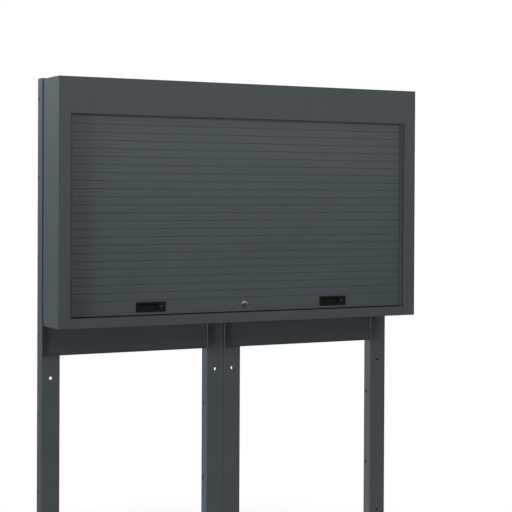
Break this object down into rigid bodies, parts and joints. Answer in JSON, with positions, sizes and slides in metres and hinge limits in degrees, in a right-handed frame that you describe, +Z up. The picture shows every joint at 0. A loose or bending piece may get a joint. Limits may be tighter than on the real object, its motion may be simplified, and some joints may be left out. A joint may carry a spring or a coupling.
{
  "type": "roll front tool cabinet",
  "caption": "Wide wall-style tool cabinet with a roller shutter front and perforated tool panel, hung on slotted uprights that stand on the floor behind a workbench",
  "frame": {"origin": "on the floor, at the middle of the width and of the overall depth", "axes": "+X to the right seen from the front, +Y towards the back and the uprights, +Z up; the shutter faces -Y"},
  "size_m": [1.45, 0.242, 1.912],
  "materials": {
    "cabinet_paint": "anthracite powder coat, fine texture, semi matt",
    "upright_paint": "anthracite powder coat, fine texture, semi matt",
    "shutter_anodised": "dark grey coated extrusion, satin",
    "guide_aluminium": "dark grey coated extrusion, satin",
    "black_plastic": "moulded, fine spark-eroded grain",
    "seal_rubber": "matt",
    "strap_steel": "spring steel, blued",
    "lock_chrome": "polished chrome",
    "lock_brass": "nickel-plated brass",
    "zinc_steel": "bright zinc plate",
    "black_screw": "black oxide"
  },
  "bodies": {
    "frame": {"front_frame": "cabinet_paint", "side_panel_left": "cabinet_paint", "side_panel_right": "cabinet_paint", "top_panel": "cabinet_paint", "bottom_panel": "cabinet_paint", "back_sheet": "cabinet_paint", "tool_panel": "cabinet_paint", "guide_rail_left": "guide_aluminium", "guide_rail_right": "guide_aluminium", "lock_strikes": "zinc_steel", "roller_shaft": "zinc_steel", "roller_brackets": "zinc_steel", "roller_spring": "zinc_steel", "roller_cover": "cabinet_paint", "upright_left_end": "upright_paint", "upright_left_mid": "upright_paint", "upright_right_mid": "upright_paint", "upright_right_end": "upright_paint", "upright_feet": "black_plastic", "frame_bolts": "zinc_steel", "hanger_brackets": "upright_paint", "lower_panel_left": "cabinet_paint", "lower_panel_right": "cabinet_paint"},
    "shutter": {"bottom_bar": "shutter_anodised", "bottom_seal": "seal_rubber", "bar_glides": "black_plastic", "pull_left": "black_plastic", "pull_right": "black_plastic", "pull_screws": "black_screw", "lock_body": "lock_chrome", "rod_guides": "zinc_steel", "curtain_straps": "strap_steel", "slat_01": "shutter_anodised", "slat_02": "shutter_anodised", "slat_03": "shutter_anodised", "slat_04": "shutter_anodised", "slat_05": "shutter_anodised", "slat_06": "shutter_anodised", "slat_07": "shutter_anodised", "slat_08": "shutter_anodised", "slat_09": "shutter_anodised", "slat_10": "shutter_anodised", "slat_11": "shutter_anodised", "slat_12": "shutter_anodised", "slat_13": "shutter_anodised", "slat_14": "shutter_anodised", "slat_15": "shutter_anodised", "slat_16": "shutter_anodised", "slat_17": "shutter_anodised", "slat_18": "shutter_anodised", "slat_19": "shutter_anodised", "slat_20": "shutter_anodised", "slat_21": "shutter_anodised", "slat_22": "shutter_anodised", "slat_23": "shutter_anodised", "slat_24": "shutter_anodised"},
    "roller": {"roller_tube": "zinc_steel"},
    "lock_plug": {"lock_plug": "lock_brass"},
    "lock_rod_left": {"lock_rod_left": "zinc_steel"},
    "lock_rod_right": {"lock_rod_right": "zinc_steel"}
  },
  "joints": [
    {"name": "shutter_lift", "type": "slide", "parent": "frame", "child": "shutter", "axis": [0, 0, 1], "range_m": [0, 0.65], "stiffness_N_per_m": 10, "springref_m": 5.6, "deforming": ["slat_01", "slat_02", "slat_03", "slat_04", "slat_05", "slat_06", "slat_07", "slat_08", "slat_09", "slat_10", "slat_11", "slat_12", "slat_13", "slat_14", "slat_15", "slat_16", "slat_17", "slat_18", "slat_19", "slat_20", "slat_21", "slat_22", "slat_23", "slat_24", "curtain_straps"]},
    {"name": "roller_turn", "type": "hinge", "parent": "frame", "child": "roller", "pos_m": [0, -0.063, 1.842], "axis": [-1, 0, 0], "range_deg": [0, 1490]},
    {"name": "lock_turn", "type": "hinge", "parent": "shutter", "child": "lock_plug", "pos_m": [0, -0.091, 1.1026], "axis": [0, 1, 0], "range_deg": [0, 90]},
    {"name": "lock_rod_right_slide", "type": "slide", "parent": "shutter", "child": "lock_rod_right", "axis": [1, 0, 0], "range_m": [0, 0.01099]},
    {"name": "lock_rod_left_slide", "type": "slide", "parent": "shutter", "child": "lock_rod_left", "axis": [-1, 0, 0], "range_m": [0, 0.011]}
  ],
  "couplings": [
    {"joint": "roller_turn", "follows": "shutter_lift", "rad_per_m": 40},
    {"joint": "lock_turn", "follows": "lock_rod_right_slide", "rad_per_m": 142.86},
    {"joint": "lock_rod_left_slide", "follows": "lock_rod_right_slide", "ratio": 1}
  ]
}
